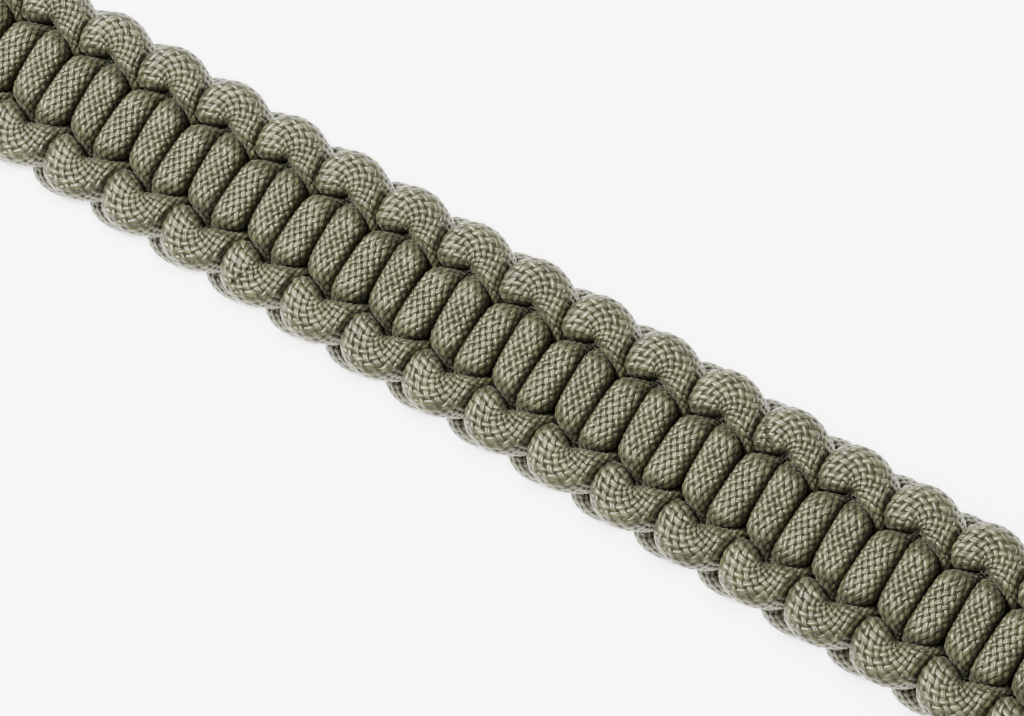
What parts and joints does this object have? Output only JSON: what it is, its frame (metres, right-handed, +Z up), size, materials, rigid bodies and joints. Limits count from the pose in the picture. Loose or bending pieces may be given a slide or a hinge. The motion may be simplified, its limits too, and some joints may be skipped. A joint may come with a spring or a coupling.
{
  "type": "paracord bracelet",
  "caption": "Paracord bracelet in a cobra weave, opened out and lying straight, face up, with an eye at one end and a stopper knot at the other.",
  "frame": {"origin": "middle of the bounding box, on the surface that the bracelet lies on", "axes": "+X along the band towards the eye, +Y across the band, +Z up, the way the face looks"},
  "size_m": [0.2188, 0.0216, 0.012],
  "materials": {
    "face_cord": "braided nylon",
    "back_cord": "braided nylon",
    "core_cord": "braided nylon",
    "stopper_knot": "braided nylon"
  },
  "bodies": {
    "root": {"face_cord": "face_cord", "back_cord": "back_cord", "core_cord": "core_cord", "stopper_knot": "stopper_knot"}
  },
  "joints": []
}
